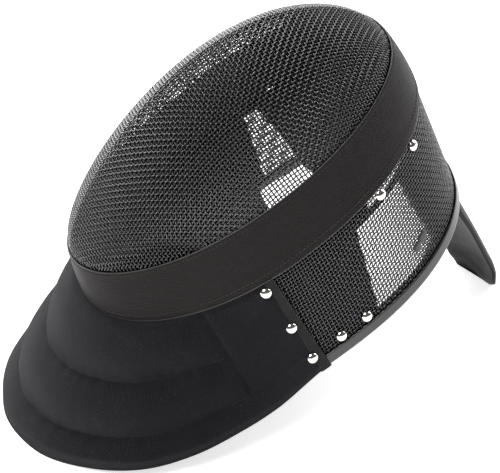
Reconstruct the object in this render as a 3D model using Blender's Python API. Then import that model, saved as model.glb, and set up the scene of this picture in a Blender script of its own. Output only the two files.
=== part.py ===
"""Fencing mask, standing as it rests by itself: on the front of its bib's hem and on the tip of its tongue.

Every size is in millimetres, in the mask's own frame: u towards the wearer's left, v along the face from
the chin (-) to the crown (+), and w forward, out of the face. Its origin is the middle of the face opening.
A turn is an angle in degrees round that opening: 0 at the crown, 90 at the wearer's left, 180 at the chin.
place() leans the mask back into its resting pose, in metres, +Z up, with the face to -Y and the floor at
Z = 0.
"""

import math
from collections import namedtuple

import bmesh
import bpy
from mathutils import Vector

# How the mask stands: its lean, and the middle of the face opening above and in front of the origin.
LEAN = 25.6
REST_HEIGHT = 183.2
REST_FORWARD = 6.33

# The face opening: the front edge of the trim band, an oval that is rounder at the chin than at the crown.
FACE_HALF_WIDTH = 91.7
FACE_HALF_HEIGHT = 144.3
CROWN_POWER = 2.29
CHIN_POWER = 2.05
FACE_BOW = 9.2

# The domed face mesh, with a soft keel down its middle.
MESH_THICKNESS = 2.0
DOME_RINGS = 7
SKIRT_ACROSS = (0.0, 0.33, 0.48)
DOME_DEPTH = 81.0
DOME_SHOULDER = 0.69
DOME_CROWN_BIAS = 0.195
KEEL_POWER = 1.12
KEEL_ROUNDING = 0.5

# The trim band, a cone that widens to the rear.
BAND_WIDTH = 37.9
BAND_FLARE = 18.4
BAND_RISE = 5.5
BAND_DROP = 5.6
BAND_BULGE = 1.2
BAND_THICKNESS = 1.2
BAND_ACROSS = (0.0, 0.33, 0.67, 1.0)

# The rear edge of the side mesh.
REAR_HALF_WIDTH = 116.4
REAR_HALF_HEIGHT = 147.0
REAR_DROP = 17.1
REAR_PLANE = -130.7
RIM_WIDTH = 9.4
RIM_WALL = 1.2
RIM_FLOOR = 0.85

# Columns of the side mesh: under the band, as shares of its width, then back to the rim.
SIDE_ACROSS = (0.52, 0.97)
SIDE_BACK = (0.03, 0.5, 0.965)

# Turns where the pieces end, on the wearer's left, and the step between their sections. The right side
# mirrors them.
TURN_STEP = 5.0
SIDE_MESH_END = 110.0
RIM_END = 95.0
BINDING_START = 99.6
BINDING_END = 102.5
BIB_START = 102.7

# Distances of surfaces from the mask's ruled outer form, outward.
BAND_TOP = 0.5
MESH_TOP = -1.0
TUCKED_TOP = -1.1
TUCKED_THICKNESS = 1.4
CLOTH_TOP = 2.3
CLOTH_BOTTOM = -0.7
LINING_TOP = -3.5
LINING_BOTTOM = -8.5
GAP = 0.3

# The hem of the bib on the wearer's left, one row for each section.
HemRow = namedtuple("HemRow", "turn u v")
HEM = (
    HemRow(99.6, 115.9, -36.4),
    HemRow(102.7, 116.5, -46.0),
    HemRow(110.0, 119.5, -60.0),
    HemRow(120.0, 125.7, -87.0),
    HemRow(130.0, 128.0, -117.0),
    HemRow(140.0, 127.0, -156.0),
    HemRow(150.0, 116.5, -193.0),
    HemRow(160.0, 91.0, -227.0),
    HemRow(170.0, 53.0, -255.0),
    HemRow(180.0, 0.0, -267.0),
)
HEM_REAR_PLANE = -129.6
HEM_RISE = 52.6
HEM_SAG = 8.4

# The padded rolls of the bib, as shares of the way from the band to the hem, with their height and the
# turns between which they swell up.
Roll = namedtuple("Roll", "start end height flat_turn full_turn")
ROLLS = (
    Roll(0.00, 0.42, 6.5, 123.0, 132.0),
    Roll(0.42, 0.78, 5.6, 123.0, 132.0),
    Roll(0.78, 1.06, 3.6, 106.0, 142.0),
)
ROLL_ROUNDING = 0.75
SEAM_SINK = 0.9
SEAM_TURNS = (118.0, 126.0)
PADDING = 3.6
PADDED_TURNS = (118.0, 140.0)
PADDED_FROM = (0.02, 0.12)
PADDED_TO = (0.9, 1.0)

# The bib's columns: tucked under the band, as shares of the band's width, then down to the hem. Past the
# rivets the cloth under the band's edge is thicker.
TUCK_ACROSS = (0.62, 0.97, 1.025)
BIB_DOWN = (0.015, 0.05, 0.11, 0.19, 0.27, 0.34, 0.385, 0.42, 0.455, 0.51, 0.60, 0.69, 0.745, 0.78)
BIB_DOWN += (0.815, 0.86, 0.91, 0.96, 1.0)
TUCK_RISE_END = 0.06
HEM_THINNING = 0.75
HEM_THIN_FROM = 0.93
TUCK_EXTRA = 1.8
TUCK_EXTRA_TURNS = (109.0, 112.0)
TUCK_EXTRA_END = 0.03
BINDING_DOWN = (0.006, 0.12, 0.3, 0.5, 0.7, 0.88, 1.0)
BINDING_SINK = 0.3

# The rivets on the wearer's left: place on the side surface, and the height of what they sit on.
Rivet = namedtuple("Rivet", "v w seat")
RIVETS = (
    Rivet(-42.0, -43.9, CLOTH_TOP),
    Rivet(-43.2, -81.1, CLOTH_TOP),
    Rivet(-44.6, -113.6, CLOTH_TOP),
    Rivet(-17.7, -115.6, MESH_TOP),
    Rivet(6.0, -115.7, MESH_TOP),
    Rivet(65.6, -42.2, MESH_TOP),
    Rivet(107.1, -40.6, MESH_TOP),
)
RIVET_RADIUS = 4.5
RIVET_HEIGHT = 2.7

# The section of a domed button, as shares of its radius and of its height.
BUTTON_SECTION = ((1.0, 0.0), (1.0, 0.18), (0.82, 0.62), (0.45, 0.92), (0.12, 1.0))
BUTTON_SEGMENTS = 10

# The lining of one side, one row for each section: its turns at the front and at the rear.
LiningRow = namedtuple("LiningRow", "front_turn rear_turn")
LINING = (
    LiningRow(106.0, 102.0),
    LiningRow(97.0, 95.0),
    LiningRow(88.0, 87.5),
    LiningRow(75.6, 79.6),
    LiningRow(69.3, 71.0),
    LiningRow(62.0, 61.0),
    LiningRow(54.8, 50.6),
    LiningRow(44.0, 40.0),
    LiningRow(33.0, 30.0),
    LiningRow(22.0, 20.0),
    LiningRow(11.0, 10.0),
    LiningRow(0.0, 0.0),
)
LINING_ACROSS = (0.005, 0.105, 0.15, 0.40, 0.65, 0.872, 0.893)
WINDOW_ROWS = (3, 6)
WINDOW_COLUMNS = (2, 5)
SLIT_ROWS = (4, 7)
LINING_TURN_FROM = 0.15
LINING_TURN_SPAN = 0.7

# The cheek flap on the wearer's left: padding that is sewn to the lining along its front edge and hangs
# inside the bib. One row for each section gives its turn along that edge and its free lower edge.
FlapRow = namedtuple("FlapRow", "turn u v w")
FLAP = (
    FlapRow(80.0, 91.0, 5.0, -141.0),
    FlapRow(90.0, 92.0, -22.0, -142.0),
    FlapRow(100.0, 94.0, -46.0, -141.0),
    FlapRow(110.0, 97.0, -69.0, -137.0),
    FlapRow(120.0, 101.0, -92.0, -129.0),
    FlapRow(135.0, 101.0, -122.0, -118.0),
)
FLAP_SEAM_BACK = (0.13, 0.2)
FLAP_DOWN = (0.0, 0.33, 0.67, 1.0)
FLAP_THICKNESS = 7.0
FLAP_GAP = 0.5

# The forehead pad.
PAD_HALF_WIDTH = 78.0
PAD_LOWER_EDGE = 33.0
PAD_THICKNESS = 12.0
PAD_THIN_EDGE = 1.0
PAD_SECTIONS = 12
PAD_RING = 12
PAD_SET_BACK = 10.0
PAD_TILT = 0.112
PAD_WRAP = 16.0
PAD_GAP = 0.1

# The tongue: a covered leaf spring, cupped round the back of the head, one row for each section from its
# root under the crown to its tip. The cup is how far its long edges turn towards the head.
TongueRow = namedtuple("TongueRow", "w v half_width cup thickness")
TONGUE = (
    TongueRow(-92.0, 121.2, 30.0, 5.0, 8.0),
    TongueRow(-105.0, 119.3, 33.0, 5.0, 8.5),
    TongueRow(-118.0, 117.9, 35.5, 7.0, 9.0),
    TongueRow(-135.0, 119.9, 36.0, 8.0, 10.0),
    TongueRow(-153.0, 120.9, 36.4, 7.0, 9.0),
    TongueRow(-171.0, 120.6, 36.7, 7.0, 8.0),
    TongueRow(-189.0, 119.8, 37.1, 7.0, 8.0),
    TongueRow(-207.0, 118.9, 37.4, 7.0, 8.0),
    TongueRow(-223.0, 118.1, 37.5, 7.0, 8.0),
    TongueRow(-236.0, 117.6, 35.7, 7.0, 8.0),
    TongueRow(-246.0, 117.5, 30.6, 7.0, 8.0),
    TongueRow(-253.0, 117.6, 23.3, 7.0, 8.0),
    TongueRow(-257.5, 117.7, 14.6, 7.0, 7.5),
    TongueRow(-259.6, 117.8, 6.5, 7.0, 6.0),
)
TONGUE_CUP_SPAN = 33.0
TONGUE_RING = 18

# The strap tabs.
TAB_PLACE = (71.3, -100.9)
TAB_HALF_LENGTH = 8.5
TAB_HALF_WIDTH = 3.8
TAB_HEIGHT = 2.4
TAB_ALONG = (0.0, 0.93, 0.33)


def place(point):
    """A point of the mask's frame, in millimetres, as it stands in the world, in metres."""
    u, v, w = point
    lean = math.radians(LEAN)
    y = v * math.cos(lean) - w * math.sin(lean) - REST_FORWARD
    z = v * math.sin(lean) + w * math.cos(lean) + REST_HEIGHT
    return Vector((u, y, z)) / 1000


def oval(turn, half_width, half_height, chin_power=CHIN_POWER):
    """The point (u, v) of an oval at a turn."""
    across = math.sin(math.radians(turn))
    along = math.cos(math.radians(turn))
    power = 2 / (chin_power if along < 0 else CROWN_POWER)
    u = half_width * math.copysign(abs(across) ** power, across)
    v = half_height * math.copysign(abs(along) ** power, along)
    return u, v


def band_front(turn):
    u, v = oval(turn, FACE_HALF_WIDTH, FACE_HALF_HEIGHT)
    return Vector((u, v, FACE_BOW * (v / FACE_HALF_HEIGHT) ** 2))


def band_rear(turn):
    u, v = oval(turn, FACE_HALF_WIDTH + BAND_FLARE, FACE_HALF_HEIGHT + BAND_RISE)
    v -= BAND_DROP
    return Vector((u, v, FACE_BOW * (v / FACE_HALF_HEIGHT) ** 2 - BAND_WIDTH))


def band(turn, across):
    """The band's form, from its front edge at 0 to its rear edge at 1."""
    point = band_front(turn).lerp(band_rear(turn), across)
    outward = Vector((point.x, point.y, 0)).normalized()
    return point + outward * BAND_BULGE * 4 * across * (1 - across)


def side(turn, back):
    """The side mesh's form, from the band's rear edge at 0 to the rear rim at 1."""
    u, v = oval(turn, REAR_HALF_WIDTH, REAR_HALF_HEIGHT, CROWN_POWER)
    return band_rear(turn).lerp(Vector((u, v - REAR_DROP, REAR_PLANE)), back)


def face(turn, spread):
    """The face mesh's form, from the middle of the face at 0 to the band's front edge at 1."""
    half_width = FACE_HALF_WIDTH + MESH_TOP
    half_height = FACE_HALF_HEIGHT + MESH_TOP
    edge_u, edge_v = oval(turn, half_width, half_height)
    u, v = edge_u * spread, edge_v * spread
    height = abs(v) / half_height
    power = CHIN_POWER if v < 0 else CROWN_POWER
    reach = half_width * max(1 - height**power, 0) ** (1 / power)
    aside = min(abs(u) / reach, 1) if reach > 1e-6 and spread < 1 else float(spread >= 1)
    keel = (1 - aside**KEEL_POWER) ** KEEL_ROUNDING
    ridge = DOME_DEPTH * max(1 - height**1.98, 0) ** DOME_SHOULDER
    ridge *= 1 + DOME_CROWN_BIAS * v / half_height
    return Vector((u, v, FACE_BOW * height**2 + ridge * keel))


def hem(turn):
    """The bib's hem, by a smooth curve through its rows."""
    mirrored = turn > 180
    at = 360 - turn if mirrored else turn
    first, second = HEM[:2]
    lead_in = HemRow(*(2 * a - b for a, b in zip(first, second)))
    past_chin = HemRow(360 - HEM[-2].turn, -HEM[-2].u, HEM[-2].v)
    rows = (lead_in, *HEM, past_chin)
    index = max(i for i in range(1, len(rows) - 2) if rows[i].turn <= at or i == 1)
    before, start, end, after = rows[index - 1 : index + 3]
    step = end.turn - start.turn
    share = (at - start.turn) / step
    found = []
    for column in ("u", "v"):
        from_value, to_value = getattr(start, column), getattr(end, column)
        leave = (to_value - getattr(before, column)) / (end.turn - before.turn) * step
        arrive = (getattr(after, column) - from_value) / (after.turn - start.turn) * step
        found.append(
            from_value * (2 * share**3 - 3 * share**2 + 1)
            + leave * (share**3 - 2 * share**2 + share)
            + to_value * (3 * share**2 - 2 * share**3)
            + arrive * (share**3 - share**2)
        )
    u, v = found
    ahead = (v - second.v) / (HEM[-1].v - second.v)
    w = HEM_REAR_PLANE + HEM_RISE * ahead - HEM_SAG * 4 * ahead * (1 - ahead)
    return Vector((-u if mirrored else u, v, w))


def bib(turn, down):
    """The bib's form without padding, from the band's rear edge at 0 to the hem at 1."""
    return band_rear(turn).lerp(hem(turn), down)


def ease(value, start, end):
    """0 up to start, 1 from end on, and a smooth step between."""
    share = min(max((value - start) / (end - start), 0), 1)
    return share * share * (3 - 2 * share)


def raised(grid, height, closed=False):
    """The grid's points moved outward by a height, a number or a function of the row and the column."""
    rows, columns = len(grid), len(grid[0])
    found = []
    for i in range(rows):
        before, after = (i - 1, (i + 1) % rows) if closed else (max(i - 1, 0), min(i + 1, rows - 1))
        row = []
        for j in range(columns):
            along = grid[after][j] - grid[before][j]
            if along.length < 1e-6:
                along = grid[after][j + 1] - grid[before][j + 1]
            across = grid[i][min(j + 1, columns - 1)] - grid[i][max(j - 1, 0)]
            outward = along.cross(across).normalized()
            row.append(grid[i][j] + outward * (height(i, j) if callable(height) else height))
        found.append(row)
    return found


def side_by_side(first, second):
    return [left + right for left, right in zip(first, second)]


def material(name, colour, roughness, metallic=0.0):
    made = bpy.data.materials.new(name)
    made.use_nodes = True
    shader = made.node_tree.nodes["Principled BSDF"]
    shader.inputs["Base Color"].default_value = (*colour, 1)
    shader.inputs["Roughness"].default_value = roughness
    shader.inputs["Metallic"].default_value = metallic
    return made


def finish(name, mesh, slot, flat_floor=False):
    """Turns a bmesh into a smooth-shaded object. Cloth and leather lie flat where they rest on the floor."""
    if flat_floor:
        for vertex in mesh.verts:
            vertex.co.z = max(vertex.co.z, 0)
    bmesh.ops.remove_doubles(mesh, verts=mesh.verts, dist=1e-6)
    bmesh.ops.recalc_face_normals(mesh, faces=mesh.faces)
    data = bpy.data.meshes.new(name)
    mesh.to_mesh(data)
    mesh.free()
    data.shade_smooth()
    data.materials.append(slot)
    made = bpy.data.objects.new(name, data)
    bpy.context.scene.collection.objects.link(made)
    return made


def solid_between(name, outer, inner, slot, closed=False, missing=(), flat_floor=False):
    """The closed solid between two matching grids of points. Missing cells are holes through it."""
    mesh = bmesh.new()
    top = [[mesh.verts.new(place(point)) for point in row] for row in outer]
    bottom = [[mesh.verts.new(place(point)) for point in row] for row in inner]
    rows, columns = len(outer), len(outer[0])
    cells = {(i, j) for i in range(rows if closed else rows - 1) for j in range(columns - 1)}
    cells -= set(missing)
    for i, j in sorted(cells):
        after, before = (i + 1) % rows, (i - 1) % rows if closed else i - 1
        corners = ((i, j), (after, j), (after, j + 1), (i, j + 1))
        neighbours = ((i, j - 1), (after, j), (i, j + 1), (before, j))
        mesh.faces.new([top[a][b] for a, b in corners])
        mesh.faces.new([bottom[a][b] for a, b in reversed(corners)])
        for side_of in range(4):
            a, b = corners[side_of], corners[(side_of + 1) % 4]
            length = (top[a[0]][a[1]].co - top[b[0]][b[1]].co).length
            if neighbours[side_of] in cells or length < 1e-7:
                continue
            wall = (top[b[0]][b[1]], top[a[0]][a[1]], bottom[a[0]][a[1]], bottom[b[0]][b[1]])
            mesh.faces.new(wall)
    return finish(name, mesh, slot, flat_floor)


def loft(name, rings, slot, flat_floor=False):
    """A closed solid through rings of points, with a face over each end."""
    mesh = bmesh.new()
    loops = [[mesh.verts.new(place(point)) for point in ring] for ring in rings]
    count = len(loops[0])
    for first, second in zip(loops, loops[1:]):
        for k in range(count):
            n = (k + 1) % count
            mesh.faces.new((first[k], first[n], second[n], second[k]))
    mesh.faces.new(list(reversed(loops[0])))
    mesh.faces.new(loops[-1])
    return finish(name, mesh, slot, flat_floor)


def button(name, centre, outward, along, half_length, half_width, height, slot):
    """A domed plate with a flat back, such as a rivet's head."""
    across = outward.cross(along).normalized()
    along = across.cross(outward)
    rings = []
    for share, rise in BUTTON_SECTION:
        ring = []
        for k in range(BUTTON_SEGMENTS):
            angle = 2 * math.pi * k / BUTTON_SEGMENTS
            sideways = across * half_width * math.sin(angle) + along * half_length * math.cos(angle)
            ring.append(centre + outward * height * rise + sideways * share)
        rings.append(ring)
    return loft(name, rings, slot)


def on_form(form, v, w, ends=(0.0, SIDE_MESH_END)):
    """The point at v and w of a form on the wearer's left, side or bib, and its outward direction."""
    low, high = ends
    for _ in range(40):
        turn = (low + high) / 2
        front, rear = form(turn, 0).z, form(turn, 1).z
        down = (front - w) / (front - rear)
        if form(turn, down).y > v:
            low = turn
        else:
            high = turn
    along = form(turn + 0.5, down) - form(turn - 0.5, down)
    outward = along.cross(form(turn, down + 0.05) - form(turn, down - 0.05)).normalized()
    return form(turn, down), outward


def spaced(start, end, count):
    return [start + (end - start) * k / count for k in range(count + 1)]


def turns_between(start, end):
    """The turns of the sections from start to end, on the steps that all the pieces share."""
    inside = [k * TURN_STEP for k in range(-72, 145) if start + 0.5 < k * TURN_STEP < end - 0.5]
    return [start] + inside + [end]


def make_front_mesh(slot):
    turns = turns_between(0, 360)[:-1]
    spreads = [math.sin(math.radians(angle)) for angle in spaced(0, 90, DOME_RINGS)][:-1]
    dome = [[face(turn, spread) for spread in spreads] for turn in turns]
    under_band = [[band(turn, across) for across in SKIRT_ACROSS] for turn in turns]
    outer = side_by_side(dome, raised(under_band, MESH_TOP - GAP / 2, closed=True))
    inner = raised(outer, -MESH_THICKNESS, closed=True)
    middle = sum((row[0] for row in inner), Vector()) / len(inner)
    for row in inner:
        row[0] = middle
    return solid_between("front_mesh", outer, inner, slot, closed=True)


def make_side_mesh(slot):
    turns = turns_between(-SIDE_MESH_END, SIDE_MESH_END)
    under_band = [[band(turn, across) for across in SIDE_ACROSS] for turn in turns]
    behind_band = [[side(turn, back) for back in SIDE_BACK] for turn in turns]
    form = side_by_side(under_band, behind_band)
    outer = raised(form, MESH_TOP)
    inner = raised(form, MESH_TOP - MESH_THICKNESS)
    middles = [abs(first + second) / 2 for first, second in zip(turns, turns[1:])]
    under_bib = {(i, 0) for i, middle in enumerate(middles) if middle > BINDING_START - TURN_STEP / 2}
    under_bib |= {(i, 1) for i, _ in under_bib}
    return solid_between("side_mesh", outer, inner, slot, missing=under_bib)


def make_trim_band(slot):
    form = [[band(turn, across) for across in BAND_ACROSS] for turn in turns_between(0, 360)[:-1]]
    outer = raised(form, BAND_TOP, closed=True)
    inner = raised(form, BAND_TOP - BAND_THICKNESS, closed=True)
    return solid_between("trim_band", outer, inner, slot, closed=True)


def make_rear_rim(slot):
    turns = turns_between(-RIM_END, RIM_END)
    front = 1 - RIM_WIDTH / (-REAR_PLANE - BAND_WIDTH)
    form = [[side(turn, front), side(turn, 1)] for turn in turns]
    heights = (
        BAND_TOP,
        BAND_TOP - RIM_WALL,
        MESH_TOP - MESH_THICKNESS - GAP,
        MESH_TOP - MESH_THICKNESS - GAP - RIM_WALL,
    )
    layers = [raised(form, height) for height in heights]
    rings = []
    for i in range(len(turns)):
        (a, b), (c, d), (e, f), (g, h) = (layer[i] for layer in layers)
        floor_outer, floor_inner = c.lerp(d, RIM_FLOOR), e.lerp(f, RIM_FLOOR)
        rings.append([a, b, h, g, e, floor_inner, floor_outer, c])
    return loft("rear_rim", rings, slot)


def roll_height(turn, down):
    """How far the bib's padding swells above its flat cloth."""
    at = min(turn, 360 - turn)
    for start, end, height, flat_turn, full_turn in ROLLS:
        if start <= down < end:
            swell = math.sin(math.pi * (down - start) / (end - start)) ** ROLL_ROUNDING
            return (height + SEAM_SINK) * swell * ease(at, flat_turn, full_turn)
    return 0.0


def make_bib(slot):
    turns = turns_between(BIB_START, 360 - BIB_START)
    tuck = [[band(t, across) for across in TUCK_ACROSS] for t in turns]
    form = [[bib(t, down) for down in BIB_DOWN] for t in turns]

    def top(i, j):
        at, down = min(turns[i], 360 - turns[i]), BIB_DOWN[j]
        flat = CLOTH_TOP - SEAM_SINK * ease(at, *SEAM_TURNS)
        rise = ease(down, 0.0, TUCK_RISE_END)
        edge = 1.0 - HEM_THINNING * ease(down, HEM_THIN_FROM, 1.0)
        return TUCKED_TOP * (1 - rise) + (flat + roll_height(turns[i], down)) * rise * edge

    def bottom(i, j):
        at, down = min(turns[i], 360 - turns[i]), BIB_DOWN[j]
        padded = ease(at, *PADDED_TURNS) * ease(down, *PADDED_FROM) * (1 - ease(down, *PADDED_TO))
        tucked = ease(at, *TUCK_EXTRA_TURNS) * (1 - ease(down, 0.0, TUCK_EXTRA_END))
        return CLOTH_BOTTOM - TUCK_EXTRA * tucked - PADDING * padded

    outer = side_by_side(raised(tuck, TUCKED_TOP), raised(form, top))
    inner = side_by_side(raised(tuck, TUCKED_TOP - TUCKED_THICKNESS), raised(form, bottom))
    return solid_between("bib", outer, inner, slot, flat_floor=True)


def make_binding(side_name, mirror, slot):
    turns = spaced(BINDING_START, BINDING_END, 2)
    form = [[bib(turn, down) for down in BINDING_DOWN] for turn in turns]
    outer = raised(form, CLOTH_TOP - BINDING_SINK)
    inner = raised(form, CLOTH_BOTTOM)
    if mirror:
        outer, inner = ([[flipped(p) for p in row] for row in grid] for grid in (outer, inner))
    return solid_between("bib_binding_" + side_name, outer, inner, slot)


def flipped(point):
    return Vector((-point.x, point.y, point.z))


def make_lining(slot):
    half = list(LINING)
    rows = half + [(-front, -rear) for front, rear in half[-2::-1]]
    rows.reverse()
    fine = []
    for first, second in zip(rows, rows[1:]):
        fine.append(first)
        fine.append(tuple((a + b) / 2 for a, b in zip(first, second)))
    fine.append(rows[-1])
    form = []
    for front_turn, rear_turn in fine:
        row = []
        for back in LINING_ACROSS:
            share = min(max((back - LINING_TURN_FROM) / LINING_TURN_SPAN, 0), 1)
            row.append(side(front_turn + (rear_turn - front_turn) * share, back))
        form.append(row)
    last = len(rows) - 1
    missing = set()
    for columns, (first, end) in ((range(*WINDOW_COLUMNS), WINDOW_ROWS), (range(1), SLIT_ROWS)):
        for start, stop in ((first, end), (last - end, last - first)):
            missing |= {(i, j) for i in range(2 * start, 2 * stop) for j in columns}
    outer, inner = raised(form, LINING_TOP), raised(form, LINING_BOTTOM)
    return solid_between("lining", outer, inner, slot, missing=missing)


def make_cheek_flap(side_name, mirror, slot):
    seam = raised([[side(row.turn, back) for back in FLAP_SEAM_BACK] for row in FLAP], LINING_BOTTOM - FLAP_GAP)
    edge = [Vector((row.u, row.v, row.w)) for row in FLAP]
    outer = [[start[0].lerp(end, down) for down in FLAP_DOWN] for start, end in zip(seam, edge)]
    inner = raised(outer, -FLAP_THICKNESS)
    if mirror:
        outer, inner = ([[flipped(p) for p in row] for row in grid] for grid in (outer, inner))
    return solid_between("cheek_flap_" + side_name, outer, inner, slot)


def rounded_ring(count, across_power, out_power):
    """The points of a rounded slab's section, from -1 to 1 both ways."""
    found = []
    for k in range(count):
        across, out = math.cos(2 * math.pi * k / count), math.sin(2 * math.pi * k / count)
        across = math.copysign(abs(across) ** across_power, across)
        found.append((across, math.copysign(abs(out) ** out_power, out)))
    return found


def make_forehead_pad(slot):
    rings = []
    for k in range(PAD_SECTIONS + 1):
        u = PAD_HALF_WIDTH * math.sin(math.radians(-90 + 180 * k / PAD_SECTIONS))
        inner_half_width = FACE_HALF_WIDTH - PAD_GAP
        reach = (1 - (abs(u) / inner_half_width) ** CROWN_POWER) ** (1 / CROWN_POWER)
        top = (FACE_HALF_HEIGHT - MESH_THICKNESS - PAD_GAP) * reach
        aside = (u / PAD_HALF_WIDTH) ** 2
        thickness = PAD_THICKNESS * max(1 - aside, 0.0) ** 0.35 + PAD_THIN_EDGE
        middle, half = (top + PAD_LOWER_EDGE) / 2, (top - PAD_LOWER_EDGE) / 2
        ring = []
        for across, out in rounded_ring(PAD_RING, 0.55, 0.7):
            v = middle + half * across
            w = -PAD_SET_BACK - PAD_TILT * (top - v) - PAD_WRAP * aside
            ring.append(Vector((u, v, w + thickness / 2 * out)))
        rings.append(ring)
    return loft("forehead_pad", rings, slot)


def make_tongue(slot):
    rings = []
    for w, v, half_width, cup, thickness in TONGUE:
        ring = []
        for across, out in rounded_ring(TONGUE_RING, 0.8, 0.7):
            u = half_width * across
            ring.append(Vector((u, v + thickness / 2 * out - cup * (u / TONGUE_CUP_SPAN) ** 2, w)))
        rings.append(ring)
    return loft("tongue", rings, slot, flat_floor=True)


def make_mask():
    steel = material("black_steel_wire", (0.035, 0.035, 0.037), 0.38, 0.6)
    satin = material("satin_black_steel", (0.09, 0.09, 0.09), 0.35, 0.7)
    chrome = material("bright_chrome", (0.9, 0.9, 0.88), 0.08, 1.0)
    band_stuff = material("black_band", (0.035, 0.033, 0.033), 0.5)
    cloth = material("navy_black_cloth", (0.014, 0.014, 0.018), 0.9)
    tape = material("charcoal_tape", (0.03, 0.03, 0.03), 0.8)
    foam = material("black_lining", (0.008, 0.008, 0.009), 0.95)
    leather = material("black_leather", (0.03, 0.029, 0.028), 0.55)
    make_front_mesh(steel)
    make_side_mesh(steel)
    make_trim_band(band_stuff)
    make_rear_rim(satin)
    make_bib(cloth)
    make_lining(foam)
    make_forehead_pad(foam)
    make_tongue(leather)
    for side_name, mirror in (("left", False), ("right", True)):
        make_binding(side_name, mirror, tape)
        make_cheek_flap(side_name, mirror, foam)
        for number, (v, w, seat) in enumerate(RIVETS, 1):
            point, outward = on_form(*((bib, v, w, (99.6, 112.0)) if seat == CLOTH_TOP else (side, v, w)))
            centre = point + outward * (seat + GAP)
            if mirror:
                centre, outward = flipped(centre), flipped(outward)
            name = f"rivet_{side_name}_{number}"
            upward = Vector((0, 1, 0))
            button(name, centre, outward, upward, RIVET_RADIUS, RIVET_RADIUS, RIVET_HEIGHT, chrome)
        point, outward = on_form(side, *TAB_PLACE)
        centre = point + outward * (MESH_TOP + GAP)
        along = Vector(TAB_ALONG)
        if mirror:
            centre, outward = flipped(centre), flipped(outward)
        name = "strap_tab_" + side_name
        button(name, centre, outward, along, TAB_HALF_LENGTH, TAB_HALF_WIDTH, TAB_HEIGHT, leather)


for old in list(bpy.data.objects):
    bpy.data.objects.remove(old)
make_mask()
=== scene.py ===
import math

import bpy
import numpy as np
from mathutils import Matrix, Vector


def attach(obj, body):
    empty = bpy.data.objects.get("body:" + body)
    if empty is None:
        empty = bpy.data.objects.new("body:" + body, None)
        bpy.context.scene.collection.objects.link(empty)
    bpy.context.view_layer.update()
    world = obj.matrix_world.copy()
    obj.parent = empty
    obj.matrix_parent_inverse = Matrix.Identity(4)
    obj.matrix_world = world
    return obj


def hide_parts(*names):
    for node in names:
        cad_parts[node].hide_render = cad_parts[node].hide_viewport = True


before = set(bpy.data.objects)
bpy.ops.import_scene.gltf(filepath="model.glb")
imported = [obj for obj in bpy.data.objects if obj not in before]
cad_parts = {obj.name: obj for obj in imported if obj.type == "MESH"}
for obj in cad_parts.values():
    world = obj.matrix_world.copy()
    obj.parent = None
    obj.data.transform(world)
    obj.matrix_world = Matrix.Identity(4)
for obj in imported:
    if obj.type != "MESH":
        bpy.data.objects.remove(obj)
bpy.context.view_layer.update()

# ---------------- face mesh
# The domed face guard: plain-woven steel wire, pressed to shape with a soft keel down its middle and coated
# in black enamel. Its cut edge is held under the trim band. Sizes here and below are in millimetres, in the
# mask's own frame: u to the wearer's left, v up the face and w forward, from the middle of the face
# opening.

MASK_LEAN = math.radians(25.6)
MASK_HEIGHT = 183.2
MASK_FORWARD = 6.33
FACE_HALF_WIDTH = 91.7
FACE_HALF_HEIGHT = 144.3
FACE_BOW = 9.2
CROWN_POWER = 2.29
CHIN_POWER = 2.05
BAND_WIDTH = 37.9
BAND_FLARE = 18.4
BAND_RISE = 5.5
BAND_DROP = 5.6
BAND_BULGE = 1.2
MESH_HALF_WIDTH = 90.7
MESH_HALF_HEIGHT = 143.3
LAST_ROW = 143.2
KEEL_POWER = 1.12
RIDGE_HEIGHT = 81
RIDGE_POWERS = (1.98, 0.69)
RIDGE_LEAN = 0.195
WIRE_THICKNESS = 1.24
WIRE_PITCH = 2.9
WIRE_SIDES = 6
CRIMP_REACH = 0.21
MESH_MIDDLE = -2.1
TUCK = np.array((0.02, 0.2))


def stand(points):
    """Points of the mask's frame, as the resting mask stands in the world, in metres."""
    u, v, w = np.moveaxis(np.asarray(points, float), -1, 0)
    y = v * math.cos(MASK_LEAN) - w * math.sin(MASK_LEAN) - MASK_FORWARD
    z = v * math.sin(MASK_LEAN) + w * math.cos(MASK_LEAN) + MASK_HEIGHT
    return np.stack((u, y, z), -1) / 1000


def unit(vectors):
    """The same directions, each 1 long."""
    return vectors / np.maximum(np.linalg.norm(vectors, axis=-1, keepdims=True), 1e-12)


def oval(turn, half_width, half_height, chin_power=CHIN_POWER):
    """Points round an oval, at turns in degrees: 0 at the crown, 90 at the left and 180 at the chin."""
    across, along = np.sin(np.radians(turn)), np.cos(np.radians(turn))
    power = 2 / np.where(along < 0, chin_power, CROWN_POWER)
    u = half_width * np.sign(across) * np.abs(across) ** power
    return u, half_height * np.sign(along) * np.abs(along) ** power


def band_edge(turn, rear):
    """The trim band's front edge where rear is 0, and its rear edge where rear is 1."""
    u, v = oval(turn, FACE_HALF_WIDTH + BAND_FLARE * rear, FACE_HALF_HEIGHT + BAND_RISE * rear)
    v = v - BAND_DROP * rear
    return np.stack((u, v, FACE_BOW * (v / FACE_HALF_HEIGHT) ** 2 - BAND_WIDTH * rear), -1)


def band(turn, across):
    """The form under the trim band, from its front edge at 0 to its rear edge at 1."""
    turn, across = np.broadcast_arrays(np.asarray(turn, float), np.asarray(across, float))
    share = across[..., None]
    points = band_edge(turn, 0) * (1 - share) + band_edge(turn, 1) * share
    away = unit(points * (1, 1, 0))
    return points + away * BAND_BULGE * 4 * share * (1 - share)


def outward(form, turn, across):
    """The direction out of a form."""
    along = form(turn + 0.4, across) - form(turn - 0.4, across)
    down = form(turn, across + 0.01) - form(turn, across - 0.01)
    return unit(np.cross(along, down))


def over(form, turn, across, height):
    """Points a height over a form."""
    turn, across = np.broadcast_arrays(np.asarray(turn, float), np.asarray(across, float))
    return form(turn, across) + outward(form, turn, across) * np.asarray(height, float)[..., None]


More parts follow.
